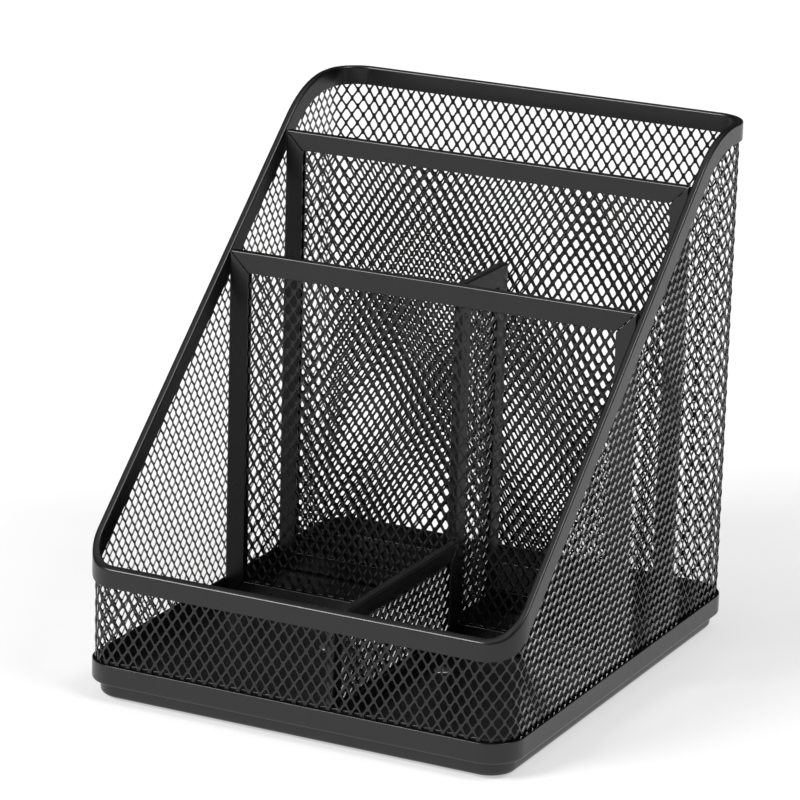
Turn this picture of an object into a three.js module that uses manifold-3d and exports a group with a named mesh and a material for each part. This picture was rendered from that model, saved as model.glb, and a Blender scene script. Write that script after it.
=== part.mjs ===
// Revolving desk organizer: an expanded-steel sorter that turns on a flat ball bearing.
// Millimetres, +Z up. The origin is on the desk, at the centre of the footprint.
// The low open tray faces -Y and the tall back faces +Y.
//
// From the desk up: rubber feet, a still base tray with the bearing lying in it, and the turning sorter:
// a pressed pan, a wall of mesh wrapped round it, a folded rim on the wall, and four framed dividers.

import * as THREE from 'three';
import { mergeVertices } from 'three/addons/utils/BufferGeometryUtils.js';
import Module from 'manifold-3d';

const wasm = await Module();
wasm.setup();

// ---------------------------------------------------------------- driving dimensions

const WIDTH = 154;
const DEPTH = 177;
const CORNER_RADIUS = 11.8;

// Side outline of the wall: low flat front, straight slope, flat back.
const FRONT_TOP = 46;
const BACK_TOP = 178.6;
const SLOPE_START_Y = -87;
const SLOPE_ANGLE = THREE.MathUtils.degToRad(42.45);
const FOOT_OF_SLOPE_RADIUS = 9;
const HEAD_OF_SLOPE_RADIUS = 40;

// Sheet, mesh and the folded channels that hide the cut edges of the mesh.
const SHEET = 0.8;
const MESH_THICKNESS = 0.6;
const CHANNEL_SKIN = 0.6;
const SLOT_GAP = 0.25;
const CHANNEL_THICKNESS = 2 * CHANNEL_SKIN + 2 * SLOT_GAP + MESH_THICKNESS;
const CLEARANCE = 0.3;
const RIM_HEIGHT = 6.4;
const RIM_PROUD = 0.1;

// Levels, from the desk up.
const FOOT_HEIGHT = 0.95;
const TRAY_BOTTOM = 1;
const TRAY_TOP = 5.6;
const TRAY_INSET = 2.8;
const PAN_BOTTOM = 6.1;
const BAND_TOP = 13.1;
const INNER_LIP_TOP = 14;
const TRAY_EDGE_RADIUS = 2;
const PAN_EDGE_RADIUS = 1;

// Dividers: centre planes and the heights of their top edges.
const FRONT_DIVIDER_Y = 4.9;
const FRONT_DIVIDER_TOP = 130.2;
const REAR_DIVIDER_Y = 43.1;
const REAR_DIVIDER_TOP = 163.8;
const CROSS_DIVIDER_X = 9.4;
const CROSS_DIVIDER_TOP = 129.6;
const TRAY_DIVIDER_X = 12.9;
const TRAY_DIVIDER_TOP = 43.2;
const TRIM_WIDTH = 7.1;
const REAR_TRIM_WIDTH = 6.4;
const TRAY_TRIM_WIDTH = 5.6;
const TRIM_THICKNESS = 3;
const TRIM_SKIN = 0.8;
const DIVIDER_END_GAP = 0.5;
const MITRE_GAP = 0.2;

// Bearing: two steel plates, a ring of balls in a cage, and a rivet through the middle.
const PLATE_THICKNESS = 0.9;
const PLATE_RADIUS = 56;
const PLATE_GAP = 0.1;
const BALL_RADIUS = 1.4;
const BALL_CLEARANCE = 0.05;
const BALL_COUNT = 12;
const RACE_RADIUS = 48;
const RACE_DEPTH = 0.25;
const RACE_FLAT_HALF_WIDTH = 0.6;
const RACE_HALF_WIDTH = 1.3;
const CAGE_HALF_WIDTH = 2.8;
const CAGE_THICKNESS = 1;
const DISH_RADIUS = 9;
const DISH_CROWN_RADIUS = 7;
const DISH_HEIGHT = 1;
const PIVOT_SHANK_RADIUS = 2.4;
const PIVOT_HEAD_RADIUS = 5;
const PIVOT_PLAY = 0.1;

// Fasteners and feet.
const RIVET_CIRCLE_RADIUS = 30;
const RIVET_SHANK_RADIUS = 1.5;
const RIVET_HEAD_RADIUS = 3;
const RIVET_HEAD_HEIGHT = 0.55;
const RIVET_PLAY = 0.05;
const HOLE_CLEARANCE = 0.2;
const FOOT_RADIUS = 6;
const FOOT_CHAMFER = 0.3;
const FOOT_X = 58;
const FOOT_Y = 70;

// ---------------------------------------------------------------- levels that follow from those

const TRAY_FLOOR_TOP = TRAY_BOTTOM + SHEET;
const LOWER_PLATE_BOTTOM = TRAY_FLOOR_TOP + PLATE_GAP;
const LOWER_PLATE_TOP = LOWER_PLATE_BOTTOM + PLATE_THICKNESS;
const UPPER_PLATE_TOP = PAN_BOTTOM - PLATE_GAP;
const UPPER_PLATE_BOTTOM = UPPER_PLATE_TOP - PLATE_THICKNESS;
const BALL_CENTRE_Z = (LOWER_PLATE_TOP + UPPER_PLATE_BOTTOM) / 2;
const PAN_FLOOR_TOP = PAN_BOTTOM + SHEET;
const DIVIDER_BOTTOM = PAN_FLOOR_TOP + CLEARANCE;
const WALL_INSIDE_X = WIDTH / 2 - CHANNEL_THICKNESS;
const WALL_INSIDE_Y = DEPTH / 2 - CHANNEL_THICKNESS;
const MESH_OUTER_INSET = CHANNEL_SKIN + SLOT_GAP;
const MESH_INNER_INSET = MESH_OUTER_INSET + MESH_THICKNESS;
const SLOT_OUTER_INSET = CHANNEL_SKIN;
const SLOT_INNER_INSET = CHANNEL_THICKNESS - CHANNEL_SKIN;
const WALL_SLOT_BOTTOM = PAN_BOTTOM + PAN_EDGE_RADIUS;

const CORNER_SEGMENTS = 6;
const SMALL_ROUND_SEGMENTS = 12;
const LARGE_ROUND_SEGMENTS = 36;
const BALL_SEGMENTS = 10;
const BALL_RINGS = 7;
const TALL = BACK_TOP + 20;

// ---------------------------------------------------------------- finishes

const blackSteel = new THREE.MeshStandardMaterial({ color: 0x2c2c2d, roughness: 0.42, metalness: 0.6 });
const blackMesh = new THREE.MeshStandardMaterial({ color: 0x242425, roughness: 0.38, metalness: 0.6 });
const zincSteel = new THREE.MeshStandardMaterial({ color: 0xb4b7bb, roughness: 0.35, metalness: 0.9 });
const ballSteel = new THREE.MeshStandardMaterial({ color: 0xc9ccd0, roughness: 0.12, metalness: 1 });
const nylon = new THREE.MeshStandardMaterial({ color: 0xe4e0d4, roughness: 0.55, metalness: 0 });
const rubber = new THREE.MeshStandardMaterial({ color: 0x1b1b1c, roughness: 0.9, metalness: 0 });

// ---------------------------------------------------------------- solids

function solid(geometry) {
  geometry.deleteAttribute('normal');
  geometry.deleteAttribute('uv');
  const merged = mergeVertices(geometry, 1e-4);
  const mesh = new wasm.Mesh({
    numProp: 3,
    vertProperties: new Float32Array(merged.attributes.position.array),
    triVerts: new Uint32Array(merged.index.array),
  });
  return new wasm.Manifold(mesh);
}

function geometryOf(manifold) {
  const mesh = manifold.getMesh();
  const geometry = new THREE.BufferGeometry();
  geometry.setAttribute('position', new THREE.BufferAttribute(mesh.vertProperties, 3));
  geometry.setIndex(new THREE.BufferAttribute(mesh.triVerts, 1));
  return geometry;
}

function box(low, high) {
  const size = high.map((value, axis) => value - low[axis]);
  const geometry = new THREE.BoxGeometry(...size);
  geometry.translate(...high.map((value, axis) => (value + low[axis]) / 2));
  return solid(geometry);
}

// An upright cylinder, used for holes.
function post(x, y, radius, bottom, top) {
  const geometry = new THREE.CylinderGeometry(radius, radius, top - bottom, SMALL_ROUND_SEGMENTS);
  geometry.rotateX(Math.PI / 2);
  geometry.translate(x, y, (bottom + top) / 2);
  return solid(geometry);
}

// A turned solid. Its section is a list of [radius, height] points, from the bottom up.
function turned(section, segments) {
  const points = section.map(([radius, height]) => new THREE.Vector2(radius, height));
  const geometry = new THREE.LatheGeometry(points, segments);
  geometry.rotateX(Math.PI / 2);
  return solid(geometry);
}

// A turned ring, whose section closes on itself.
function turnedRing(section, segments) {
  return turned([...section, section[0]], segments);
}

// The footprint, moved in by the same amount all round.
function footprint(inset) {
  const x = WIDTH / 2 - inset;
  const y = DEPTH / 2 - inset;
  const r = CORNER_RADIUS - inset;
  const shape = new THREE.Shape();
  shape.moveTo(-x + r, -y);
  shape.lineTo(x - r, -y);
  shape.absarc(x - r, -y + r, r, -Math.PI / 2, 0, false);
  shape.lineTo(x, y - r);
  shape.absarc(x - r, y - r, r, 0, Math.PI / 2, false);
  shape.lineTo(-x + r, y);
  shape.absarc(-x + r, y - r, r, Math.PI / 2, Math.PI, false);
  shape.lineTo(-x, -y + r);
  shape.absarc(-x + r, -y + r, r, Math.PI, Math.PI * 1.5, false);
  return shape;
}

function slab(inset, bottom, top) {
  const options = { depth: top - bottom, bevelEnabled: false, curveSegments: CORNER_SEGMENTS };
  const geometry = new THREE.ExtrudeGeometry(footprint(inset), options);
  geometry.translate(0, 0, bottom);
  return solid(geometry);
}

// A slab whose lower edge is rounded with radius r. The matching bevel on its upper edge is cut off.
function pressedBlock(inset, bottom, top, r) {
  const options = {
    depth: top - bottom,
    bevelThickness: r,
    bevelSize: r,
    bevelOffset: -r,
    bevelSegments: 3,
    curveSegments: CORNER_SEGMENTS,
  };
  const geometry = new THREE.ExtrudeGeometry(footprint(inset), options);
  geometry.translate(0, 0, bottom + r);
  const above = box([-WIDTH, -DEPTH, top], [WIDTH, DEPTH, TALL]);
  return solid(geometry).subtract(above);
}

function ringWall(outerInset, innerInset, bottom, top) {
  return slab(outerInset, bottom, top).subtract(slab(innerInset, bottom - 1, top + 1));
}

// Everything under the wall's side outline, once that outline is lowered square to itself by drop.
function underOutline(drop) {
  const turn = Math.tan(SLOPE_ANGLE / 2);
  const rise = BACK_TOP - FRONT_TOP;
  const slopeEndY = SLOPE_START_Y + rise / Math.tan(SLOPE_ANGLE);
  const footY = SLOPE_START_Y - FOOT_OF_SLOPE_RADIUS * turn;
  const headY = slopeEndY + HEAD_OF_SLOPE_RADIUS * turn;
  const footRadius = FOOT_OF_SLOPE_RADIUS + drop;
  const headRadius = HEAD_OF_SLOPE_RADIUS - drop;
  const quarter = Math.PI / 2;
  const shape = new THREE.Shape();
  shape.moveTo(-DEPTH, -TALL);
  shape.lineTo(DEPTH, -TALL);
  shape.lineTo(DEPTH, BACK_TOP - drop);
  shape.absarc(headY, BACK_TOP - HEAD_OF_SLOPE_RADIUS, headRadius, quarter, quarter + SLOPE_ANGLE, false);
  shape.absarc(footY, FRONT_TOP + FOOT_OF_SLOPE_RADIUS, footRadius, SLOPE_ANGLE - quarter, -quarter, true);
  shape.lineTo(-DEPTH, FRONT_TOP - drop);
  const options = { depth: 2 * WIDTH, bevelEnabled: false, curveSegments: 8 };
  const geometry = new THREE.ExtrudeGeometry(shape, options);
  const alongX = new THREE.Matrix4().makeBasis(
    new THREE.Vector3(0, 1, 0),
    new THREE.Vector3(0, 0, 1),
    new THREE.Vector3(1, 0, 0),
  );
  geometry.applyMatrix4(alongX);
  geometry.translate(-WIDTH, 0, 0);
  return solid(geometry);
}

// ---------------------------------------------------------------- the model's tree

const organizer = new THREE.Group();
const stillBase = new THREE.Group();
const cageGroup = new THREE.Group();
const sorter = new THREE.Group();
organizer.add(stillBase, cageGroup, sorter);

function addPiece(group, name, manifold, material, position = [0, 0, 0]) {
  const mesh = new THREE.Mesh(geometryOf(manifold), material);
  mesh.name = name;
  mesh.position.set(...position);
  group.add(mesh);
  return mesh;
}

// ---------------------------------------------------------------- still base: tray, feet, lower plate

const rivetPlaces = [45, 135, 225, 315].map((degrees) => {
  const angle = THREE.MathUtils.degToRad(degrees);
  return [RIVET_CIRCLE_RADIUS * Math.cos(angle), RIVET_CIRCLE_RADIUS * Math.sin(angle)];
});

function drilled(plate) {
  return rivetPlaces.reduce(
    (left, [x, y]) => left.subtract(post(x, y, RIVET_SHANK_RADIUS + HOLE_CLEARANCE, -1, TALL)),
    plate,
  );
}

function baseTray() {
  const block = pressedBlock(TRAY_INSET, TRAY_BOTTOM, TRAY_TOP, TRAY_EDGE_RADIUS);
  const innerRadius = TRAY_EDGE_RADIUS - SHEET;
  const hollow = pressedBlock(TRAY_INSET + SHEET, TRAY_FLOOR_TOP, TRAY_TOP + 1, innerRadius);
  return drilled(block.subtract(hollow));
}

// A bearing plate is a disc with a ball race pressed in one face and a dish round its centre hole.
// facing is +1 when the race opens upwards and -1 when it opens downwards; back is the level of its far face.
function bearingPlate(back, facing) {
  const face = back + facing * PLATE_THICKNESS;
  const race = face - facing * RACE_DEPTH;
  const dish = facing * DISH_HEIGHT;
  const hole = PIVOT_SHANK_RADIUS + HOLE_CLEARANCE;
  const section = [
    [hole, back + dish],
    [DISH_CROWN_RADIUS, back + dish],
    [DISH_RADIUS, back],
    [PLATE_RADIUS, back],
    [PLATE_RADIUS, face],
    [RACE_RADIUS + RACE_HALF_WIDTH, face],
    [RACE_RADIUS + RACE_FLAT_HALF_WIDTH, race],
    [RACE_RADIUS - RACE_FLAT_HALF_WIDTH, race],
    [RACE_RADIUS - RACE_HALF_WIDTH, face],
    [DISH_RADIUS, face],
    [DISH_CROWN_RADIUS, face + dish],
    [hole, face + dish],
  ];
  const upwards = facing > 0 ? section : section.reverse();
  return drilled(turnedRing(upwards, LARGE_ROUND_SEGMENTS));
}

function rubberFoot() {
  return turned([
    [0, 0],
    [FOOT_RADIUS - FOOT_CHAMFER, 0],
    [FOOT_RADIUS, FOOT_CHAMFER],
    [FOOT_RADIUS, FOOT_HEIGHT],
    [0, FOOT_HEIGHT],
  ], 2 * SMALL_ROUND_SEGMENTS);
}

// A rivet that grips everything between gripBottom and gripTop, with a low domed head at each end.
function rivet(shankRadius, headRadius, headHeight, gripBottom, gripTop) {
  const shoulder = headRadius * 0.7;
  return turned([
    [0, gripBottom - headHeight],
    [shoulder, gripBottom - headHeight],
    [headRadius, gripBottom - headHeight / 2],
    [headRadius, gripBottom],
    [shankRadius, gripBottom],
    [shankRadius, gripTop],
    [headRadius, gripTop],
    [headRadius, gripTop + headHeight / 2],
    [shoulder, gripTop + headHeight],
    [0, gripTop + headHeight],
  ], SMALL_ROUND_SEGMENTS);
}

addPiece(stillBase, 'base_tray', baseTray(), blackSteel);

let footNumber = 0;
for (const x of [-FOOT_X, FOOT_X]) {
  for (const y of [-FOOT_Y, FOOT_Y]) {
    footNumber += 1;
    addPiece(stillBase, `rubber_foot_${footNumber}`, rubberFoot(), rubber, [x, y, 0]);
  }
}

addPiece(stillBase, 'lower_bearing_plate', bearingPlate(LOWER_PLATE_BOTTOM, 1), zincSteel);

rivetPlaces.forEach(([x, y], index) => {
  const grip = [TRAY_BOTTOM - RIVET_PLAY, LOWER_PLATE_TOP + RIVET_PLAY];
  const piece = rivet(RIVET_SHANK_RADIUS, RIVET_HEAD_RADIUS, RIVET_HEAD_HEIGHT, ...grip);
  addPiece(stillBase, `base_rivet_${index + 1}`, piece, zincSteel, [x, y, 0]);
});

const pivotGrip = [
  LOWER_PLATE_BOTTOM + DISH_HEIGHT - PIVOT_PLAY,
  UPPER_PLATE_TOP - DISH_HEIGHT + PIVOT_PLAY,
];
const pivotHead = DISH_HEIGHT - 2 * PIVOT_PLAY;
const pivotRivet = rivet(PIVOT_SHANK_RADIUS, PIVOT_HEAD_RADIUS, pivotHead, ...pivotGrip);
addPiece(stillBase, 'pivot_rivet', pivotRivet, zincSteel);

// ---------------------------------------------------------------- ball cage and balls

const ballAngles = Array.from({ length: BALL_COUNT }, (_, index) => (index * 2 * Math.PI) / BALL_COUNT);

function ballPlace(angle) {
  return [RACE_RADIUS * Math.cos(angle), RACE_RADIUS * Math.sin(angle)];
}

function ballCage() {
  const bottom = BALL_CENTRE_Z - CAGE_THICKNESS / 2;
  const top = BALL_CENTRE_Z + CAGE_THICKNESS / 2;
  const ring = turnedRing([
    [RACE_RADIUS - CAGE_HALF_WIDTH, bottom],
    [RACE_RADIUS + CAGE_HALF_WIDTH, bottom],
    [RACE_RADIUS + CAGE_HALF_WIDTH, top],
    [RACE_RADIUS - CAGE_HALF_WIDTH, top],
  ], LARGE_ROUND_SEGMENTS);
  return ballAngles.reduce((left, angle) => {
    const [x, y] = ballPlace(angle);
    return left.subtract(post(x, y, BALL_RADIUS + HOLE_CLEARANCE, bottom - 1, top + 1));
  }, ring);
}

addPiece(cageGroup, 'ball_cage', ballCage(), nylon);

ballAngles.forEach((angle, index) => {
  const ball = solid(new THREE.SphereGeometry(BALL_RADIUS - BALL_CLEARANCE, BALL_SEGMENTS, BALL_RINGS));
  addPiece(cageGroup, `ball_${index + 1}`, ball, ballSteel, [...ballPlace(angle), BALL_CENTRE_Z]);
});

// ---------------------------------------------------------------- sorter: bearing plate, pan, wall and rim

addPiece(sorter, 'upper_bearing_plate', bearingPlate(UPPER_PLATE_TOP, -1), zincSteel);

rivetPlaces.forEach(([x, y], index) => {
  const grip = [UPPER_PLATE_BOTTOM - RIVET_PLAY, PAN_FLOOR_TOP + RIVET_PLAY];
  const piece = rivet(RIVET_SHANK_RADIUS, RIVET_HEAD_RADIUS, RIVET_HEAD_HEIGHT, ...grip);
  addPiece(sorter, `pan_rivet_${index + 1}`, piece, zincSteel, [x, y, 0]);
});

// The pan's side is a folded channel. The mesh wall stands in it, and its inner lip is the taller one.
function basePan() {
  const block = pressedBlock(0, PAN_BOTTOM, INNER_LIP_TOP, PAN_EDGE_RADIUS);
  const hollow = slab(CHANNEL_THICKNESS, PAN_FLOOR_TOP, TALL);
  const slot = ringWall(SLOT_OUTER_INSET, SLOT_INNER_INSET, WALL_SLOT_BOTTOM, TALL);
  const bandCut = ringWall(-1, SLOT_OUTER_INSET + SLOT_GAP, BAND_TOP, TALL);
  return drilled(block.subtract(hollow).subtract(slot).subtract(bandCut));
}

function meshWall() {
  const wall = ringWall(MESH_OUTER_INSET, MESH_INNER_INSET, WALL_SLOT_BOTTOM + CLEARANCE, TALL);
  return wall.intersect(underOutline(CHANNEL_SKIN + CLEARANCE));
}

// The rim is a channel turned over the mesh. Its outer skin stands proud of the pan's side.
function topRim() {
  const outer = ringWall(-RIM_PROUD, CHANNEL_THICKNESS, 0, TALL);
  const band = outer.intersect(underOutline(0)).subtract(underOutline(RIM_HEIGHT));
  const slot = ringWall(SLOT_OUTER_INSET, SLOT_INNER_INSET, 0, TALL).intersect(underOutline(CHANNEL_SKIN));
  return band.subtract(slot);
}

addPiece(sorter, 'base_pan', basePan(), blackSteel);
addPiece(sorter, 'mesh_wall', meshWall(), blackMesh);
addPiece(sorter, 'top_rim', topRim(), blackSteel);

// ---------------------------------------------------------------- framed dividers

// A flat outline in the divider's own plane (along, up), thickened evenly to both sides of that plane.
function plate(outline, thickness) {
  const shape = new THREE.Shape(outline.map(([along, up]) => new THREE.Vector2(along, up)));
  const geometry = new THREE.ExtrudeGeometry(shape, { depth: thickness, bevelEnabled: false });
  geometry.rotateX(Math.PI / 2);
  geometry.translate(0, thickness / 2, 0);
  return solid(geometry);
}

function rectangle(low, high, bottom, top) {
  return [[low, bottom], [high, bottom], [high, top], [low, top]];
}

// One side of the frame: a strip with mitred ends, slotted from its inner edge to take the mesh.
function trim(outline, slotOutline) {
  return plate(outline, TRIM_THICKNESS).subtract(plate(slotOutline, TRIM_THICKNESS - 2 * TRIM_SKIN));
}

// A sheet of mesh in a frame of four folded strips. low and high are its ends along its own plane,
// endNames are what those ends are called, and place turns and moves the finished pieces.
function addDivider(name, { low, high, top, trimWidth, endNames, place }) {
  const w = trimWidth;
  const g = MITRE_GAP;
  const s = TRIM_SKIN;
  const bottom = DIVIDER_BOTTOM;
  const inner = s + CLEARANCE;
  const pieces = {
    mesh: plate(rectangle(low + inner, high - inner, bottom + inner, top - inner), MESH_THICKNESS),
    top_trim: trim(
      [[low + g + w, top - w], [high - g - w, top - w], [high - g, top], [low + g, top]],
      rectangle(low - 1, high + 1, top - w - 1, top - s),
    ),
    bottom_trim: trim(
      [[low + g, bottom], [high - g, bottom], [high - g - w, bottom + w], [low + g + w, bottom + w]],
      rectangle(low - 1, high + 1, bottom + s, bottom + w + 1),
    ),
    [`${endNames[0]}_trim`]: trim(
      [[low, bottom + g], [low + w, bottom + g + w], [low + w, top - g - w], [low, top - g]],
      rectangle(low + s, low + w + 1, bottom - 1, top + 1),
    ),
    [`${endNames[1]}_trim`]: trim(
      [[high, top - g], [high - w, top - g - w], [high - w, bottom + g + w], [high, bottom + g]],
      rectangle(high - w - 1, high - s, bottom - 1, top + 1),
    ),
  };
  for (const [part, manifold] of Object.entries(pieces)) {
    const material = part === 'mesh' ? blackMesh : blackSteel;
    place(addPiece(sorter, `${name}_${part}`, manifold, material));
  }
}

const HALF_THICKNESS = TRIM_THICKNESS / 2;
const DIVIDER_END_X = WALL_INSIDE_X - DIVIDER_END_GAP;

addDivider('front_divider', {
  low: -DIVIDER_END_X,
  high: DIVIDER_END_X,
  top: FRONT_DIVIDER_TOP,
  trimWidth: TRIM_WIDTH,
  endNames: ['left', 'right'],
  place: (mesh) => mesh.position.set(0, FRONT_DIVIDER_Y, 0),
});

addDivider('rear_divider', {
  low: -DIVIDER_END_X,
  high: DIVIDER_END_X,
  top: REAR_DIVIDER_TOP,
  trimWidth: REAR_TRIM_WIDTH,
  endNames: ['left', 'right'],
  place: (mesh) => mesh.position.set(0, REAR_DIVIDER_Y, 0),
});

function placeAlongY(x) {
  return (mesh) => {
    mesh.rotation.z = Math.PI / 2;
    mesh.position.set(x, 0, 0);
  };
}

addDivider('cross_divider', {
  low: FRONT_DIVIDER_Y + HALF_THICKNESS + CLEARANCE,
  high: REAR_DIVIDER_Y - HALF_THICKNESS - CLEARANCE,
  top: CROSS_DIVIDER_TOP,
  trimWidth: TRIM_WIDTH,
  endNames: ['front', 'rear'],
  place: placeAlongY(CROSS_DIVIDER_X),
});

addDivider('tray_divider', {
  low: -WALL_INSIDE_Y + DIVIDER_END_GAP,
  high: FRONT_DIVIDER_Y - HALF_THICKNESS - CLEARANCE,
  top: TRAY_DIVIDER_TOP,
  trimWidth: TRAY_TRIM_WIDTH,
  endNames: ['front', 'rear'],
  place: placeAlongY(TRAY_DIVIDER_X),
});

export default organizer;
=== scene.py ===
"""A revolving desk organizer in black expanded steel.

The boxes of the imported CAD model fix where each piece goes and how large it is. Sizes that a box can't
give, such as folds and skins, are named below. This script puts finished pieces over the plain solids: a
real lattice for each panel of mesh, folded rims and trims with soft edges, and a turned bearing.
Metres, +Z up, the low tray towards -Y.
"""

import math

import bmesh
import bpy
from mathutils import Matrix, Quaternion, Vector


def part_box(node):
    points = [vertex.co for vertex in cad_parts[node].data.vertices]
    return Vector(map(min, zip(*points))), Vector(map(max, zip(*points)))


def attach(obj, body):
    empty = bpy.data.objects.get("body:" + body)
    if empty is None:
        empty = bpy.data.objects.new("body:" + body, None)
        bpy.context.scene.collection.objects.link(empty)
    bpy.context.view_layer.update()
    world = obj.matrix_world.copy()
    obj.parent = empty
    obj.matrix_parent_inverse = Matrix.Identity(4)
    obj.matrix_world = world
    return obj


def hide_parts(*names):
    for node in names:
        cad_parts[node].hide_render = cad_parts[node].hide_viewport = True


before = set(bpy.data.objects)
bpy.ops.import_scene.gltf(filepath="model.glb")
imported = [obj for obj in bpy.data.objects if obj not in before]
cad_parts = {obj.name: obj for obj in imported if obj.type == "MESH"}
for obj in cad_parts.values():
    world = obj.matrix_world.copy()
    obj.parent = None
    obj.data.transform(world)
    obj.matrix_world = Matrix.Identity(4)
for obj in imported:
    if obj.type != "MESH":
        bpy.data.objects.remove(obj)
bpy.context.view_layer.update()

MM = 0.001

# ---------------------------------------------------------------- sizes read from the frame

pan_low, pan_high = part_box("base_pan")
_, rim_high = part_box("top_rim")
_, wall_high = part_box("mesh_wall")
tray_low, tray_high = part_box("base_tray")
cage_low, cage_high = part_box("ball_cage")

# ---------------------------------------------------------------- shape of the wall

CORNER_RADIUS = 11.8 * MM
STRAIGHT_X = pan_high.x - CORNER_RADIUS
STRAIGHT_Y = pan_high.y - CORNER_RADIUS
CORNER_CENTRES = [
    Vector((-STRAIGHT_X, -STRAIGHT_Y)),
    Vector((STRAIGHT_X, -STRAIGHT_Y)),
    Vector((STRAIGHT_X, STRAIGHT_Y)),
    Vector((-STRAIGHT_X, STRAIGHT_Y)),
]
QUARTER = math.pi / 2

SLOPE_ANGLE = math.radians(42.45)
SLOPE_START_Y = -87 * MM
FOOT_OF_SLOPE_RADIUS = 9 * MM
HEAD_OF_SLOPE_RADIUS = 40 * MM
BACK_TOP = rim_high.z
FRONT_TOP = 46 * MM

# ---------------------------------------------------------------- folded channels and sheet

SHEET = 0.8 * MM
CHANNEL_SKIN = 0.6 * MM
CHANNEL_THICKNESS = 2.3 * MM
CUT_EDGE_RADIUS = 0.2 * MM
OUTER_EDGE_RADIUS = 1.5 * CUT_EDGE_RADIUS
RIM_HEIGHT = 6.4 * MM
RIM_PROUD = rim_high.x - pan_high.x
RIM_FOLD_RADIUS = 0.85 * MM
BAND_TOP = 13.1 * MM
PAN_FLOOR_REACH = 6 * MM
PAN_FOOT_RADIUS = 0.9 * MM
PAN_EDGE_RADIUS = 1 * MM
TRAY_EDGE_RADIUS = 2 * MM
TRAY_INSET = pan_high.x - tray_high.x
TRIM_SKIN = 0.8 * MM
TRIM_FOLD_RADIUS = 0.7 * MM
MITRE_GAP = 0.2 * MM
MITRE_BEVEL = 0.15 * MM
CORNER_STEPS = 20
RIM_SIDE_STEPS = 72
PRESSED_ROUND_STEPS = 6

# ---------------------------------------------------------------- expanded mesh

CAD_MESH_THICKNESS = 0.6 * MM
MESH_INSET = (pan_high.x - wall_high.x) + CAD_MESH_THICKNESS / 2
MESH_SHEET = 0.36 * MM
STRAND_WIDTH = 0.6 * MM
DIAMOND_WIDTH = 4.04 * MM
DIAMOND_HEIGHT = 5.9 * MM
BOND_TILT = 0.17 * MM
FIRST_BOND_ROW = 10.75 * MM
LEAST_BOND_DROP = 3.4 * MM
FRAME_MARGIN = 2.2 * MM
ARC_LENGTH = (CORNER_RADIUS - MESH_INSET) * QUARTER
PERIMETER = 4 * (STRAIGHT_X + STRAIGHT_Y + ARC_LENGTH)

# ---------------------------------------------------------------- camera and light

CAMERA_TARGET = Vector((-7.56, 0, 89.32)) * MM
CAMERA_AZIMUTH = math.radians(26.47)
CAMERA_ELEVATION = math.radians(16.67)
CAMERA_ROLL = math.radians(1.564)
CAMERA_DISTANCE = 1.377
CAMERA_LENS = 188.3
FLOOR_REACH = 6
FLOOR_GLOW = 0.5
CEILING_STARTS = math.radians(45)
CEILING_FULL = math.radians(75)
WALL_LIGHT = 0.04
CEILING_LIGHT = 0.8


# ---------------------------------------------------------------- curves of the wall


def on_footprint(s, inset):
    """A point of the footprint, moved in by inset.

    s runs counter-clockwise round the mesh, from the left end of the front.
    """
    s %= PERIMETER
    for side in range(4):
        start, end = CORNER_CENTRES[side], CORNER_CENTRES[(side + 1) % 4]
        length = (end - start).length
        if s <= length + ARC_LENGTH:
            break
        s -= length + ARC_LENGTH
    turn = side * QUARTER + max(s - length, 0) / ARC_LENGTH * QUARTER
    direction = Vector((math.sin(turn), -math.cos(turn)))
    centre = start.lerp(end, min(s / length, 1))
    return centre + direction * (CORNER_RADIUS - inset)


def footprint_stations(side_steps):
    """Values of s for a loop round the footprint, closest together in the corners."""
    stations = []
    start = 0
    for side in range(4):
        length = 2 * (STRAIGHT_X if side % 2 == 0 else STRAIGHT_Y)
        steps = side_steps if side % 2 else 1
        stations += [start + length * step / steps for step in range(steps)]
        stations += [start + length + ARC_LENGTH * step / CORNER_STEPS for step in range(CORNER_STEPS)]
        start += length + ARC_LENGTH
    return stations


def outline_height(y, drop):
    """Height of the wall's side outline at y, once the outline is lowered square to itself by drop."""
    turn = math.tan(SLOPE_ANGLE / 2)
    slope_end_y = SLOPE_START_Y + (BACK_TOP - FRONT_TOP) / math.tan(SLOPE_ANGLE)
    foot_y = SLOPE_START_Y - FOOT_OF_SLOPE_RADIUS * turn
    head_y = slope_end_y + HEAD_OF_SLOPE_RADIUS * turn
    foot_radius = FOOT_OF_SLOPE_RADIUS + drop
    head_radius = HEAD_OF_SLOPE_RADIUS - drop
    foot_run = foot_radius * math.sin(SLOPE_ANGLE)
    head_run = head_radius * math.sin(SLOPE_ANGLE)
    if y <= foot_y:
        return FRONT_TOP - drop
    if y < foot_y + foot_run:
        return FRONT_TOP + FOOT_OF_SLOPE_RADIUS - math.sqrt(foot_radius**2 - (y - foot_y) ** 2)
    if y < head_y - head_run:
        start_z = FRONT_TOP + FOOT_OF_SLOPE_RADIUS - foot_radius * math.cos(SLOPE_ANGLE)
        return start_z + (y - foot_y - foot_run) * math.tan(SLOPE_ANGLE)
    if y < head_y:
        return BACK_TOP - HEAD_OF_SLOPE_RADIUS + math.sqrt(head_radius**2 - (head_y - y) ** 2)
    return BACK_TOP - drop


# ---------------------------------------------------------------- solids


def rounded(corners, steps=4):
    """Points along an outline of corners (across, up, radius), with each corner rounded off."""
    outline = []
    last = len(corners) - 1
    for index, (across, up, radius) in enumerate(corners):
        here = Vector((across, up))
        if radius == 0:
            outline.append(here)
            continue
        before = (Vector(corners[index - 1][:2]) - here).normalized()
        after = (Vector(corners[0 if index == last else index + 1][:2]) - here).normalized()
        for step in range(steps + 1):
            t = step / steps
            outline.append(here + before * radius * (1 - t) ** 2 + after * radius * t**2)
    return outline


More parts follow.
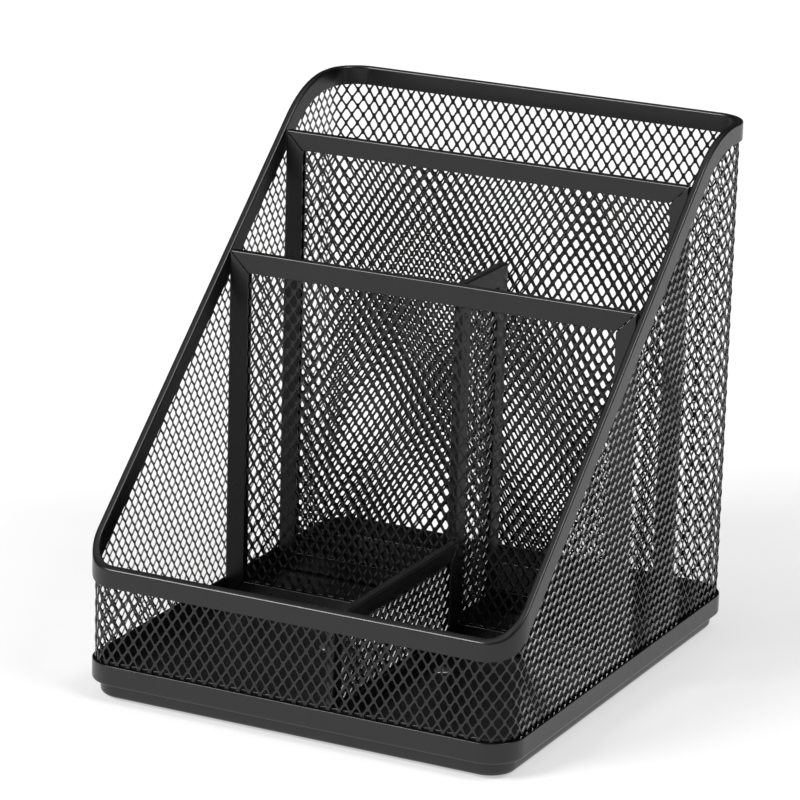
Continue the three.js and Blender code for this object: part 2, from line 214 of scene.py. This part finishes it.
def make_piece(name, points, faces, material, slot, body, nodes):
    """A finished piece that stands for CAD nodes and rides on their body."""
    mesh = bpy.data.meshes.new(name)
    mesh.from_pydata(points, [], faces)
    mesh.validate()
    mesh.polygons.foreach_set("use_smooth", [True] * len(mesh.polygons))
    mesh.materials.append(material)
    piece = bpy.data.objects.new(name, mesh)
    bpy.context.scene.collection.objects.link(piece)
    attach(piece, body)
    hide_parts(*nodes)
    return piece


def flatten_shading(piece):
    """Keeps broad faces flat, so that only their rounded edges shade smoothly."""
    modifier = piece.modifiers.new("broad faces", "WEIGHTED_NORMAL")
    modifier.keep_sharp = True
    modifier.weight = 100
    return piece


def band_faces(ring_count, section_count, ring_loop, section_loop):
    """Quads between neighbouring rings of points, where each ring is one section."""
    rings = range(ring_count if ring_loop else ring_count - 1)
    sections = range(section_count if section_loop else section_count - 1)
    faces = []
    for ring in rings:
        here = ring * section_count
        there = (ring + 1) % ring_count * section_count
        for index in sections:
            after = (index + 1) % section_count
            faces.append((here + index, here + after, there + after, there + index))
    return faces


def looped_solid(rings, section_closed):
    """Points and faces of a section swept round a closed loop.

    A section that isn't closed gets a flat cap over each of its two ends.
    """
    count = len(rings[0])
    faces = band_faces(len(rings), count, True, section_closed)
    if not section_closed:
        faces.append(tuple(ring * count for ring in range(len(rings))))
        faces.append(tuple(ring * count + count - 1 for ring in reversed(range(len(rings)))))
    return [point for ring in rings for point in ring], faces


def bar_solid(rings):
    """Points and faces of a closed section swept along a bar, with flat ends."""
    count = len(rings[0])
    faces = band_faces(len(rings), count, False, True)
    faces.append(tuple(reversed(range(count))))
    faces.append(tuple((len(rings) - 1) * count + index for index in range(count)))
    return [point for ring in rings for point in ring], faces


def turned_solid(section, section_closed, centre=(0, 0), segments=96):
    """Points and faces of a section of (radius, height) turned about an upright axis."""
    rings = []
    for step in range(segments):
        angle = step / segments * 2 * math.pi
        rings.append([
            (centre[0] + radius * math.cos(angle), centre[1] + radius * math.sin(angle), height)
            for radius, height in section
        ])
    return looped_solid(rings, section_closed)


def outward(piece):
    """Turns every face of a piece to look outwards."""
    work = bmesh.new()
    work.from_mesh(piece.data)
    bmesh.ops.recalc_face_normals(work, faces=work.faces)
    work.to_mesh(piece.data)
    work.free()
    return piece


# ---------------------------------------------------------------- materials

RAMP_START = 0.3
RAMP_END = 0.7


class Look:
    """A Principled material whose detail comes from nodes in the object's own coordinates."""

    def __init__(self, name, roughness, metallic=0.0, specular=0.5):
        self.material = bpy.data.materials.new(name)
        self.material.use_nodes = True
        self.tree = self.material.node_tree
        self.shader = self.tree.nodes["Principled BSDF"]
        self.shader.inputs["Roughness"].default_value = roughness
        self.shader.inputs["Metallic"].default_value = metallic
        self.shader.inputs["Specular IOR Level"].default_value = specular
        self.place = self.tree.nodes.new("ShaderNodeTexCoord").outputs["Object"]

    def stretched(self, scale):
        mapping = self.tree.nodes.new("ShaderNodeMapping")
        mapping.inputs["Scale"].default_value = scale
        self.tree.links.new(self.place, mapping.inputs["Vector"])
        return mapping.outputs["Vector"]

    def noise(self, size, detail=2.0, vector=None):
        node = self.tree.nodes.new("ShaderNodeTexNoise")
        node.inputs["Scale"].default_value = 1 / size
        node.inputs["Detail"].default_value = detail
        self.tree.links.new(vector or self.place, node.inputs["Vector"])
        return node.outputs["Fac"]

    def ramp(self, value, low, high):
        node = self.tree.nodes.new("ShaderNodeValToRGB")
        first, second = node.color_ramp.elements
        first.position = RAMP_START
        second.position = RAMP_END
        first.color = (*low, 1)
        second.color = (*high, 1)
        self.tree.links.new(value, node.inputs["Fac"])
        return node.outputs["Color"]

    def spread(self, value, low, high):
        node = self.tree.nodes.new("ShaderNodeMapRange")
        node.inputs["To Min"].default_value = low
        node.inputs["To Max"].default_value = high
        self.tree.links.new(value, node.inputs["Value"])
        return node.outputs["Result"]

    def colour(self, socket):
        self.tree.links.new(socket, self.shader.inputs["Base Color"])

    def roughness(self, socket):
        self.tree.links.new(socket, self.shader.inputs["Roughness"])

    def bump(self, height, distance, strength=1.0, after=None):
        node = self.tree.nodes.new("ShaderNodeBump")
        node.inputs["Distance"].default_value = distance
        node.inputs["Strength"].default_value = strength
        self.tree.links.new(height, node.inputs["Height"])
        if after:
            self.tree.links.new(after, node.inputs["Normal"])
        self.tree.links.new(node.outputs["Normal"], self.shader.inputs["Normal"])
        return node.outputs["Normal"]


def powder_coat(name, dark, light, roughness, grain):
    """Satin powder coat: soft colour drift, a fine orange-peel skin and a roughness that wanders."""
    look = Look(name, roughness)
    look.colour(look.ramp(look.noise(14 * MM, detail=4), low=dark, high=light))
    wander = look.noise(3 * MM, detail=3)
    look.roughness(look.spread(wander, low=roughness - 0.05, high=roughness + 0.06))
    peel = look.bump(look.noise(1.1 * MM, detail=2), distance=0.014 * MM, strength=grain)
    look.bump(look.noise(0.4 * MM, detail=3), distance=0.012 * MM, strength=grain, after=peel)
    return look.material


def zinc_plate(name):
    """Zinc-plated steel: a faint crystal pattern over rolled sheet."""
    look = Look(name, 0.34, metallic=1.0)
    rolled = look.stretched((1, 14, 1))
    crystals = look.noise(4 * MM, detail=3)
    look.colour(look.ramp(crystals, low=(0.5, 0.52, 0.54), high=(0.66, 0.67, 0.68)))
    look.roughness(look.spread(look.noise(1.5 * MM, detail=3, vector=rolled), low=0.26, high=0.44))
    look.bump(look.noise(0.6 * MM, detail=3, vector=rolled), distance=0.008 * MM, strength=0.6)
    return look.material


def ball_steel(name):
    """Polished chrome steel."""
    look = Look(name, 0.12, metallic=1.0)
    look.colour(look.ramp(look.noise(1 * MM), low=(0.66, 0.67, 0.69), high=(0.76, 0.77, 0.79)))
    look.roughness(look.spread(look.noise(0.7 * MM, detail=3), low=0.08, high=0.2))
    return look.material


def moulded_nylon(name):
    """Natural nylon, which lets a little light in."""
    look = Look(name, 0.5)
    look.shader.inputs["Subsurface Weight"].default_value = 0.1
    look.shader.inputs["Subsurface Radius"].default_value = (MM, MM, MM)
    tint = look.noise(6 * MM, detail=3)
    look.colour(look.ramp(tint, low=(0.72, 0.69, 0.6), high=(0.8, 0.77, 0.7)))
    look.roughness(look.spread(look.noise(1 * MM, detail=3), low=0.42, high=0.6))
    look.bump(look.noise(0.4 * MM, detail=3), distance=0.015 * MM, strength=0.5)
    return look.material


def foot_rubber(name):
    """Dull black rubber with a coarse skin."""
    look = Look(name, 0.85, specular=0.3)
    tint = look.noise(3 * MM, detail=4)
    look.colour(look.ramp(tint, low=(0.012, 0.012, 0.012), high=(0.026, 0.026, 0.025)))
    look.roughness(look.spread(look.noise(0.8 * MM, detail=3), low=0.75, high=0.95))
    look.bump(look.noise(0.25 * MM, detail=4), distance=0.03 * MM, strength=0.8)
    return look.material


COAT_DARK = (0.003, 0.003, 0.0031)
COAT_LIGHT = (0.0052, 0.0051, 0.0051)
MESH_COAT_LIGHT = (0.005, 0.0049, 0.0049)

steel = powder_coat("black_steel", COAT_DARK, COAT_LIGHT, roughness=0.29, grain=0.7)
mesh_steel = powder_coat("black_mesh", COAT_DARK, MESH_COAT_LIGHT, roughness=0.28, grain=0.3)
zinc = zinc_plate("zinc_steel")
chrome_steel = ball_steel("ball_steel")
nylon = moulded_nylon("nylon")
rubber = foot_rubber("rubber")

# ---------------------------------------------------------------- expanded-metal lattice

HALF_WIDTH = DIAMOND_WIDTH / 2
HALF_HEIGHT = DIAMOND_HEIGHT / 2
STRAND_LEAN = math.atan2(HALF_WIDTH, HALF_HEIGHT)
HOLE_SIDE_CUT = 0.2 * MM
HOLE_TIP_CUT = 0.45 * MM


def bond_corners():
    """The eight corners (along, up, depth) of a bond, where four strands meet, counter-clockwise."""
    hole_half_width = HALF_WIDTH - STRAND_WIDTH / 2 / math.cos(STRAND_LEAN)
    hole_half_height = HALF_HEIGHT - STRAND_WIDTH / 2 / math.sin(STRAND_LEAN)
    side = HALF_WIDTH - hole_half_width + HOLE_SIDE_CUT
    side_up = hole_half_height * HOLE_SIDE_CUT / hole_half_width
    tip = HALF_HEIGHT - hole_half_height + HOLE_TIP_CUT
    tip_along = hole_half_width * HOLE_TIP_CUT / hole_half_height
    half = [(side, -side_up), (side, side_up), (tip_along, tip), (-tip_along, tip)]
    corners = half + [(-along, -up) for along, up in half]
    return [(along, up, -BOND_TILT * along / side) for along, up in corners]


BOND_CORNERS = bond_corners()
UP_RIGHT, UP_LEFT, DOWN_LEFT, DOWN_RIGHT = (1, 2), (3, 4), (5, 6), (7, 0)
ARM_STEPS = {UP_RIGHT: (1, 1), UP_LEFT: (-1, 1), DOWN_LEFT: (-1, -1), DOWN_RIGHT: (1, -1)}
HOLE_EDGES = [(0, 1), (2, 3), (4, 5), (6, 7)]


def lattice(bonds, columns, place):
    """Points and faces of expanded metal with a bond at each (column, row) of bonds.

    place turns (along, up, depth) into a point. columns is how many half diamonds go round a closed
    wall, or None on a flat panel.
    """
    points = []
    faces = []
    first_point = {}
    for column, row in sorted(bonds):
        first_point[column, row] = len(points)
        for along, up, depth in BOND_CORNERS:
            for side in (0.5, -0.5):
                points.append(
                    place(column * HALF_WIDTH + along, row * HALF_HEIGHT + up, depth + side * MESH_SHEET)
                )

    def front(bond, corner):
        return first_point[bond] + 2 * corner

    def back(bond, corner):
        return front(bond, corner) + 1

    def wall(bond_a, corner_a, bond_b, corner_b):
        faces.append((
            front(bond_a, corner_a),
            back(bond_a, corner_a),
            back(bond_b, corner_b),
            front(bond_b, corner_b),
        ))

    def neighbour(bond, arm):
        column = bond[0] + ARM_STEPS[arm][0]
        if columns:
            column %= columns
        return column, bond[1] + ARM_STEPS[arm][1]

    corners = range(len(BOND_CORNERS))
    for bond in sorted(bonds):
        faces.append(tuple(front(bond, corner) for corner in corners))
        faces.append(tuple(back(bond, corner) for corner in reversed(corners)))
        for first, second in HOLE_EDGES:
            wall(bond, first, bond, second)
        for arm in ARM_STEPS:
            if neighbour(bond, arm) not in bonds:
                wall(bond, arm[0], bond, arm[1])
        for arm, far in ((UP_RIGHT, DOWN_LEFT), (DOWN_RIGHT, UP_LEFT)):
            other = neighbour(bond, arm)
            if other not in bonds:
                continue
            outline = [(bond, arm[0]), (other, far[1]), (other, far[0]), (bond, arm[1])]
            faces.append(tuple(front(*corner) for corner in outline))
            faces.append(tuple(back(*corner) for corner in reversed(outline)))
            wall(*outline[0], *outline[1])
            wall(*outline[2], *outline[3])
    return points, faces


def add_lattice(name, solid, node):
    """Expanded mesh, whose strands are sheared sharp on every side."""
    piece = make_piece(name, *solid, mesh_steel, "black_mesh", "organizer", [node])
    piece.data.shade_flat()


# ---------------------------------------------------------------- mesh wall

WALL_COLUMNS = 2 * round(PERIMETER / DIAMOND_WIDTH)
WALL_STRETCH = PERIMETER / (WALL_COLUMNS * HALF_WIDTH)


def on_wall(along, up, depth):
    point = on_footprint(along * WALL_STRETCH, MESH_INSET - depth)
    return point.x, point.y, up + FIRST_BOND_ROW


def wall_bonds():
    bonds = set()
    rows = int((BACK_TOP - FIRST_BOND_ROW) / HALF_HEIGHT)
    for column in range(WALL_COLUMNS):
        point = on_footprint(column * HALF_WIDTH * WALL_STRETCH, MESH_INSET)
        top = outline_height(point.y, LEAST_BOND_DROP)
        for row in range(rows):
            if (column + row) % 2 == 0 and row * HALF_HEIGHT + FIRST_BOND_ROW < top:
                bonds.add((column, row))
    return bonds


add_lattice("mesh_wall_lattice", lattice(wall_bonds(), WALL_COLUMNS, on_wall), "mesh_wall")

# ---------------------------------------------------------------- rim, pan and tray


def rim_section():
    """Across the wall and down from its top: a channel that is open below, over the mesh."""
    slot_out = CHANNEL_SKIN - RIM_PROUD
    slot_in = CHANNEL_THICKNESS - CHANNEL_SKIN
    slot_top = 2 * CHANNEL_SKIN
    return rounded([
        (-RIM_PROUD, 0, RIM_FOLD_RADIUS),
        (CHANNEL_THICKNESS, 0, RIM_FOLD_RADIUS),
        (CHANNEL_THICKNESS, RIM_HEIGHT, CUT_EDGE_RADIUS),
        (slot_in, RIM_HEIGHT, CUT_EDGE_RADIUS),
        (slot_in, slot_top, CUT_EDGE_RADIUS),
        (slot_out, slot_top, CUT_EDGE_RADIUS),
        (slot_out, RIM_HEIGHT, CUT_EDGE_RADIUS),
        (-RIM_PROUD, RIM_HEIGHT, CUT_EDGE_RADIUS),
    ])


def rim_rings():
    rings = []
    for s in footprint_stations(RIM_SIDE_STEPS):
        ring = []
        for inset, drop in rim_section():
            point = on_footprint(s, inset)
            ring.append((point.x, point.y, outline_height(point.y, drop)))
        rings.append(ring)
    return rings


flatten_shading(outward(make_piece(
    "top_rim_channel", *looped_solid(rim_rings(), True),
    steel, "black_steel", "organizer", ["top_rim"],
)))


def pressed_rings(section):
    """Rings of points for a section of (inset, height) carried round the footprint."""
    rings = []
    for s in footprint_stations(1):
        ring = []
        for inset, height in section:
            point = on_footprint(s, inset)
            ring.append((point.x, point.y, height))
        rings.append(ring)
    return rings


def pan_section():
    """From the middle of the floor, up the inner lip, over the mesh channel and down the outer band."""
    floor = pan_low.z + SHEET
    slot_in = CHANNEL_THICKNESS - CHANNEL_SKIN
    slot_bottom = floor + SHEET
    return rounded([
        (PAN_FLOOR_REACH, floor, 0),
        (CHANNEL_THICKNESS, floor, PAN_FOOT_RADIUS),
        (CHANNEL_THICKNESS, pan_high.z, CUT_EDGE_RADIUS),
        (slot_in, pan_high.z, CUT_EDGE_RADIUS),
        (slot_in, slot_bottom, CUT_EDGE_RADIUS),
        (CHANNEL_SKIN, slot_bottom, CUT_EDGE_RADIUS),
        (CHANNEL_SKIN, BAND_TOP, CUT_EDGE_RADIUS),
        (0, BAND_TOP, OUTER_EDGE_RADIUS),
        (0, pan_low.z, PAN_EDGE_RADIUS),
        (PAN_FLOOR_REACH, pan_low.z, 0),
    ], PRESSED_ROUND_STEPS)


flatten_shading(outward(make_piece(
    "base_pan_pressing", *looped_solid(pressed_rings(pan_section()), False),
    steel, "black_steel", "organizer", ["base_pan"],
)))


def tray_section():
    """From the middle of the floor to the tray's low wall, up it and down its outside."""
    floor = tray_low.z + SHEET
    middle = TRAY_INSET + PAN_FLOOR_REACH
    inner = TRAY_INSET + SHEET
    return rounded([
        (middle, floor, 0),
        (inner, floor, TRAY_EDGE_RADIUS - SHEET),
        (inner, tray_high.z, CUT_EDGE_RADIUS),
        (TRAY_INSET, tray_high.z, OUTER_EDGE_RADIUS),
        (TRAY_INSET, tray_low.z, TRAY_EDGE_RADIUS),
        (middle, tray_low.z, 0),
    ], PRESSED_ROUND_STEPS)


flatten_shading(outward(make_piece(
    "base_tray_pressing", *looped_solid(pressed_rings(tray_section()), False),
    steel, "black_steel", "turntable_base", ["base_tray"],
)))

# ---------------------------------------------------------------- framed dividers


def trim_section(width, thickness, shrink):
    """Across a trim from its folded edge, and through it. The other edge is open to take the mesh."""
    outer = thickness / 2 - shrink
    slot = thickness / 2 - TRIM_SKIN + shrink
    slot_end = 2 * TRIM_SKIN - shrink
    open_edge = width - shrink
    return rounded([
        (shrink, -outer, TRIM_FOLD_RADIUS),
        (shrink, outer, TRIM_FOLD_RADIUS),
        (open_edge, outer, CUT_EDGE_RADIUS),
        (open_edge, slot, CUT_EDGE_RADIUS),
        (slot_end, slot, CUT_EDGE_RADIUS),
        (slot_end, -slot, CUT_EDGE_RADIUS),
        (open_edge, -slot, CUT_EDGE_RADIUS),
        (open_edge, -outer, CUT_EDGE_RADIUS),
    ])


def trim_solid(start, end, inward, width, thickness):
    """A folded strip with mitred ends. start and end are the outer corners of the frame that it joins."""
    along = (end - start).normalized()
    through = along.cross(inward)
    length = (end - start).length
    rings = []
    for low_end, shrink in ((True, MITRE_BEVEL), (True, 0), (False, 0), (False, MITRE_BEVEL)):
        ring = []
        for across, depth in trim_section(width, thickness, shrink):
            cut = MITRE_GAP + across + (MITRE_BEVEL - shrink)
            reach = cut if low_end else length - cut
            ring.append(start + along * reach + inward * across + through * depth)
        rings.append(ring)
    return bar_solid(rings)


def divider_bonds(low, high, bottom, top):
    """Bonds (column, row) of a flat panel that its frame leaves room for.

    Columns are numbered from the middle of the panel, and rows from its foot.
    """
    centre = (low + high) / 2
    reach = int((high - low) / DIAMOND_WIDTH)
    bonds = set()
    for column in range(-reach, reach + 1):
        for row in range(int((top - bottom) / HALF_HEIGHT)):
            along = centre + column * HALF_WIDTH
            height = bottom + FRAME_MARGIN + row * HALF_HEIGHT
            beside = low + FRAME_MARGIN < along < high - FRAME_MARGIN
            if (column + row) % 2 == 0 and beside and height < top - FRAME_MARGIN:
                bonds.add((column, row))
    return bonds


def add_divider(name, end_names, run):
    """Replaces the five CAD nodes of a divider, from the boxes of its trims.

    end_names are the trims at its two ends, and run is the direction from the first to the second.
    """
    up = Vector((0, 0, 1))
    facing = run.cross(up)
    top_low, top_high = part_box(f"{name}_top_trim")
    first_low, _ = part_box(f"{name}_{end_names[0]}_trim")
    _, last_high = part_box(f"{name}_{end_names[1]}_trim")
    bottom_low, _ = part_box(f"{name}_bottom_trim")
    bottom = bottom_low.z
    top = top_high.z
    low = first_low.dot(run)
    high = last_high.dot(run)
    thickness = abs((top_high - top_low).dot(facing))
    plane = facing * ((top_low + top_high) / 2).dot(facing)

    def corner(along, height):
        return plane + run * along + up * height

    strips = {
        "top": (corner(low, top), corner(high, top), -up),
        "bottom": (corner(low, bottom), corner(high, bottom), up),
        end_names[0]: (corner(low, bottom), corner(low, top), run),
        end_names[1]: (corner(high, bottom), corner(high, top), -run),
    }
    for side, (start, end, inward) in strips.items():
        solid = trim_solid(start, end, inward, top_high.z - top_low.z, thickness)
        node = f"{name}_{side}_trim"
        flatten_shading(outward(make_piece(
            f"{node}_strip", *solid, steel, "black_steel", "organizer", [node],
        )))

    def on_panel(along, rise, depth):
        return corner((low + high) / 2 + along, bottom + FRAME_MARGIN + rise) + facing * depth

    panel = lattice(divider_bonds(low, high, bottom, top), None, on_panel)
    add_lattice(f"{name}_lattice", panel, f"{name}_mesh")


for crosswise in ("front_divider", "rear_divider"):
    add_divider(crosswise, ("left", "right"), Vector((1, 0, 0)))
for lengthwise in ("cross_divider", "tray_divider"):
    add_divider(lengthwise, ("front", "rear"), Vector((0, 1, 0)))

# ---------------------------------------------------------------- bearing, rivets and feet

RIVET_COUNT = 4
RIVET_SEGMENTS = 40
RIVET_HEAD_HEIGHT = 0.55 * MM
RIVET_SHANK_RADIUS = 1.5 * MM
PIVOT_HEAD_HEIGHT = 0.8 * MM
PIVOT_SHANK_RADIUS = 2.4 * MM
DOME_STEPS = 6


def rivet_section(low, high, head_radius, head_height, shank_radius):
    """Half section of a rivet with a low domed head at each end, from the bottom up."""
    angles = [QUARTER * step / DOME_STEPS for step in range(DOME_STEPS)]
    dome = [(head_radius * math.cos(angle), head_height * math.sin(angle)) for angle in angles]
    lower = [(radius, low + head_height - rise) for radius, rise in reversed(dome)]
    upper = [(radius, high - head_height + rise) for radius, rise in dome]
    shank = [(shank_radius, low + head_height), (shank_radius, high - head_height)]
    return lower + shank + upper


def add_rivet(node, body, head_height, shank_radius):
    low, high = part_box(node)
    centre = (low + high) / 2
    section = rivet_section(low.z, high.z, (high.x - low.x) / 2, head_height, shank_radius)
    solid = turned_solid(section, False, (centre.x, centre.y), RIVET_SEGMENTS)
    outward(make_piece(f"{node}_steel", *solid, zinc, "zinc_steel", body, [node]))


for number in range(1, RIVET_COUNT + 1):
    add_rivet(f"base_rivet_{number}", "turntable_base", RIVET_HEAD_HEIGHT, RIVET_SHANK_RADIUS)
    add_rivet(f"pan_rivet_{number}", "organizer", RIVET_HEAD_HEIGHT, RIVET_SHANK_RADIUS)
add_rivet("pivot_rivet", "turntable_base", PIVOT_HEAD_HEIGHT, PIVOT_SHANK_RADIUS)

PLATE_THICKNESS = 0.9 * MM
RACE_RADIUS = 48 * MM
RACE_DEPTH = 0.25 * MM
RACE_HALF_WIDTH = 1.3 * MM
RACE_STEPS = 6
PLATE_BEVEL = 0.2 * MM
DISH_RADIUS = 9 * MM
DISH_CROWN_RADIUS = 7 * MM
DISH_HEIGHT = 1 * MM
PIVOT_HOLE_RADIUS = 2.6 * MM


def add_bearing_plate(node, body, facing):
    """A pressed disc. facing is +1 with the ball race on top and -1 with it underneath."""
    low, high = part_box(node)
    back = low.z if facing > 0 else high.z
    face = back + facing * PLATE_THICKNESS
    dish = facing * DISH_HEIGHT
    edge = high.x
    race = []
    for step in range(RACE_STEPS + 1):
        t = 1 - 2 * step / RACE_STEPS
        groove = facing * RACE_DEPTH * math.cos(t * QUARTER)
        race.append((RACE_RADIUS + RACE_HALF_WIDTH * t, face - groove))
    section = [
        (PIVOT_HOLE_RADIUS, back + dish),
        (DISH_CROWN_RADIUS, back + dish),
        (DISH_RADIUS, back),
        (edge - PLATE_BEVEL, back),
        (edge, back + facing * PLATE_BEVEL),
        (edge, face - facing * PLATE_BEVEL),
        (edge - PLATE_BEVEL, face),
        *race,
        (DISH_RADIUS, face),
        (DISH_CROWN_RADIUS, face + dish),
        (PIVOT_HOLE_RADIUS, face + dish),
    ]
    solid = turned_solid(section, True)
    piece = outward(make_piece(f"{node}_disc", *solid, zinc, "zinc_steel", body, [node]))
    flatten_shading(piece)


add_bearing_plate("lower_bearing_plate", "turntable_base", 1)
add_bearing_plate("upper_bearing_plate", "organizer", -1)

BALL_COUNT = 12
BALL_STEPS = 16
BALL_SEGMENTS = 32
CAGE_SEGMENTS = 144
POCKET_GAP = 0.2 * MM
CAGE_EDGE_RADIUS = 0.2 * MM


def ball_place(node):
    """Centre and radius of a ball. Its faceted CAD solid is full size only on its widest axis."""
    low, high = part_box(node)
    return (low + high) / 2, max(high - low) / 2


def add_ball(node):
    centre, radius = ball_place(node)
    angles = [math.pi * (step + 0.5) / BALL_STEPS - QUARTER for step in range(BALL_STEPS)]
    section = [(radius * math.cos(angle), centre.z + radius * math.sin(angle)) for angle in angles]
    solid = turned_solid(section, False, (centre.x, centre.y), BALL_SEGMENTS)
    outward(make_piece(f"{node}_steel", *solid, chrome_steel, "ball_steel", "ball_cage", [node]))


for number in range(1, BALL_COUNT + 1):
    add_ball(f"ball_{number}")


def add_cage():
    """A flat nylon ring with soft edges and a round pocket for each ball."""
    inner = 2 * RACE_RADIUS - cage_high.x
    section = rounded([
        (inner, cage_low.z, CAGE_EDGE_RADIUS),
        (cage_high.x, cage_low.z, CAGE_EDGE_RADIUS),
        (cage_high.x, cage_high.z, CAGE_EDGE_RADIUS),
        (inner, cage_high.z, CAGE_EDGE_RADIUS),
    ])
    solid = turned_solid(section, True, segments=CAGE_SEGMENTS)
    cage = outward(make_piece("ball_cage_ring", *solid, nylon, "nylon", "ball_cage", ["ball_cage"]))
    for number in range(1, BALL_COUNT + 1):
        centre, radius = ball_place(f"ball_{number}")
        pocket_radius = radius + POCKET_GAP
        section = [(pocket_radius, cage_low.z - MM), (pocket_radius, cage_high.z + MM)]
        points, faces = turned_solid(section, False, (centre.x, centre.y), BALL_SEGMENTS)
        mesh = bpy.data.meshes.new("pocket")
        mesh.from_pydata(points, [], faces)
        cutter = bpy.data.objects.new("pocket", mesh)
        bpy.context.scene.collection.objects.link(cutter)
        outward(cutter)
        cut = cage.modifiers.new("pocket", "BOOLEAN")
        cut.object = cutter
        cut.solver = "EXACT"
        with bpy.context.temp_override(object=cage, active_object=cage, selected_objects=[cage]):
            bpy.ops.object.modifier_apply(modifier=cut.name)
        bpy.data.objects.remove(cutter)
    flatten_shading(cage)


add_cage()

FOOT_COUNT = 4
FOOT_SEGMENTS = 48
FOOT_DIMPLE_SHARE = 0.5
FOOT_DIMPLE_DEPTH = 0.15 * MM
FOOT_EDGE_RADIUS = 0.3 * MM


def add_foot(node):
    """A stick-on rubber disc with a soft edge and a shallow dimple underneath."""
    low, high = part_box(node)
    centre = (low + high) / 2
    radius = (high.x - low.x) / 2
    dimple = FOOT_DIMPLE_SHARE * radius
    core = dimple / 2
    section = rounded([
        (core, low.z + FOOT_DIMPLE_DEPTH, 0),
        (dimple - FOOT_DIMPLE_DEPTH, low.z + FOOT_DIMPLE_DEPTH, FOOT_DIMPLE_DEPTH / 2),
        (dimple, low.z, FOOT_DIMPLE_DEPTH / 2),
        (radius, low.z, FOOT_EDGE_RADIUS),
        (radius, high.z, FOOT_EDGE_RADIUS / 2),
        (core, high.z, 0),
    ])
    solid = turned_solid(section, False, (centre.x, centre.y), FOOT_SEGMENTS)
    piece = outward(make_piece(f"{node}_pad", *solid, rubber, "rubber", "turntable_base", [node]))
    flatten_shading(piece)


for number in range(1, FOOT_COUNT + 1):
    add_foot(f"rubber_foot_{number}")

# ---------------------------------------------------------------- floor, light and camera


def towards(azimuth, elevation):
    """The direction of a place round the organizer. Azimuth 0 is in front, and 90 on the right."""
    level = math.cos(elevation)
    return Vector((math.sin(azimuth) * level, -math.cos(azimuth) * level, math.sin(elevation)))


def add_floor():
    """A pale table, lit a little from within so that the organizer's shadow stays soft."""
    look = Look("floor", 0.9, specular=0.2)
    look.colour(look.ramp(look.noise(300 * MM), low=(0.45, 0.45, 0.45), high=(0.47, 0.47, 0.47)))
    look.shader.inputs["Emission Color"].default_value = (1, 1, 1, 1)
    look.shader.inputs["Emission Strength"].default_value = FLOOR_GLOW
    corners = [(-FLOOR_REACH, -FLOOR_REACH, 0), (FLOOR_REACH, -FLOOR_REACH, 0)]
    corners += [(-x, -y, 0) for x, y, _ in corners]
    mesh = bpy.data.meshes.new("floor")
    mesh.from_pydata(corners, [], [(0, 1, 2, 3)])
    mesh.materials.append(look.material)
    floor = bpy.data.objects.new("floor", mesh)
    scene.collection.objects.link(floor)


def add_studio():
    """A dark room with a pale ceiling, so that upright faces stay dark and folded edges catch the light."""
    world = bpy.data.worlds.new("studio")
    world.use_nodes = True
    tree = world.node_tree
    background = tree.nodes["Background"]
    background.inputs["Color"].default_value = (1, 1, 1, 1)
    place = tree.nodes.new("ShaderNodeTexCoord")
    split = tree.nodes.new("ShaderNodeSeparateXYZ")
    height = tree.nodes.new("ShaderNodeMapRange")
    height.inputs["From Min"].default_value = math.sin(CEILING_STARTS)
    height.inputs["From Max"].default_value = math.sin(CEILING_FULL)
    height.inputs["To Min"].default_value = WALL_LIGHT
    height.inputs["To Max"].default_value = CEILING_LIGHT
    tree.links.new(place.outputs["Generated"], split.inputs["Vector"])
    tree.links.new(split.outputs["Z"], height.inputs["Value"])
    tree.links.new(height.outputs["Result"], background.inputs["Strength"])
    scene.world = world


def add_softbox(name, azimuth, elevation, spread, light):
    """A distant softbox. The angles are in degrees, and spread is how wide it looks."""
    data = bpy.data.lights.new(name, "SUN")
    data.angle = math.radians(spread)
    data.energy = light
    softbox = bpy.data.objects.new(name, data)
    away = towards(math.radians(azimuth), math.radians(elevation))
    softbox.rotation_euler = away.to_track_quat("Z", "Y").to_euler()
    scene.collection.objects.link(softbox)


def add_camera():
    away = towards(CAMERA_AZIMUTH, CAMERA_ELEVATION)
    data = bpy.data.cameras.new("camera")
    data.lens = CAMERA_LENS
    data.clip_end = 2 * FLOOR_REACH
    camera = bpy.data.objects.new("camera", data)
    camera.location = CAMERA_TARGET + away * CAMERA_DISTANCE
    camera.rotation_mode = "QUATERNION"
    camera.rotation_quaternion = away.to_track_quat("Z", "Y") @ Quaternion((0, 0, 1), CAMERA_ROLL)
    scene.collection.objects.link(camera)
    scene.camera = camera


scene = bpy.context.scene
scene.view_settings.view_transform = "Standard"
scene.view_settings.look = "None"
add_floor()
add_studio()
add_softbox("left_softbox", azimuth=-32, elevation=36, spread=24, light=3)
add_softbox("right_softbox", azimuth=82, elevation=50, spread=24, light=1.5)
add_camera()
